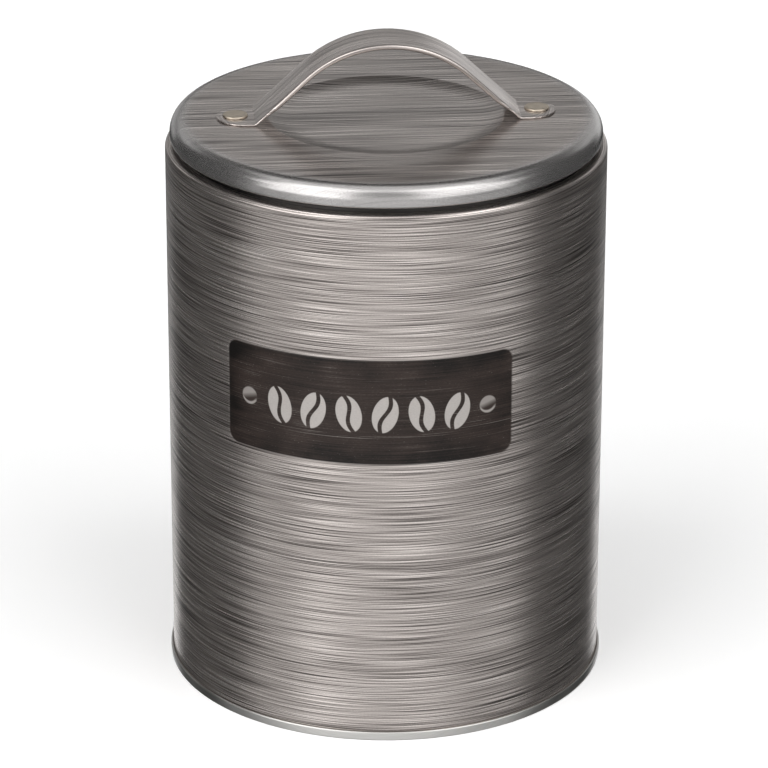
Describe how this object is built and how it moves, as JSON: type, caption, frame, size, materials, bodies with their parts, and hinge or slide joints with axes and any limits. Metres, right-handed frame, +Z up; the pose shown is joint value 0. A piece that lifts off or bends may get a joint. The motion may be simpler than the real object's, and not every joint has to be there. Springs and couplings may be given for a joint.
{
  "type": "coffee tin",
  "caption": "Tall round coffee tin in brushed-effect grey, with a slip-on lid, an arched strap handle and a double-seamed base.",
  "frame": {"origin": "centre of the ring that the tin stands on", "axes": "+Z up along the tin's axis; the front, where the label is printed, faces -Y; the side seam is at +Y"},
  "size_m": [0.1113, 0.1114, 0.1659],
  "materials": {
    "brushed_print": "tinplate printed with a grey brushed-metal effect under satin lacquer",
    "tinplate": "bare tinplate, satin",
    "rivet_metal": "nickel-brass, dull",
    "seal_rubber": "translucent white silicone, matte"
  },
  "bodies": {
    "tin": {"body_wall": "brushed_print", "neck_ring": "tinplate", "base_end": "tinplate"},
    "seal": {"lid_seal": "seal_rubber"},
    "lid": {"lid_shell": "brushed_print", "handle_strap": "brushed_print", "rivet_left": "rivet_metal", "rivet_right": "rivet_metal"}
  },
  "joints": [
    {"name": "lid_lift", "type": "slide", "parent": "tin", "child": "seal", "axis": [0, 0, 1], "range_m": [0, 0.08]},
    {"name": "lid_turn", "type": "hinge", "parent": "seal", "child": "lid", "pos_m": [0, 0, 0.1445], "axis": [0, 0, 1], "continuous": true}
  ]
}
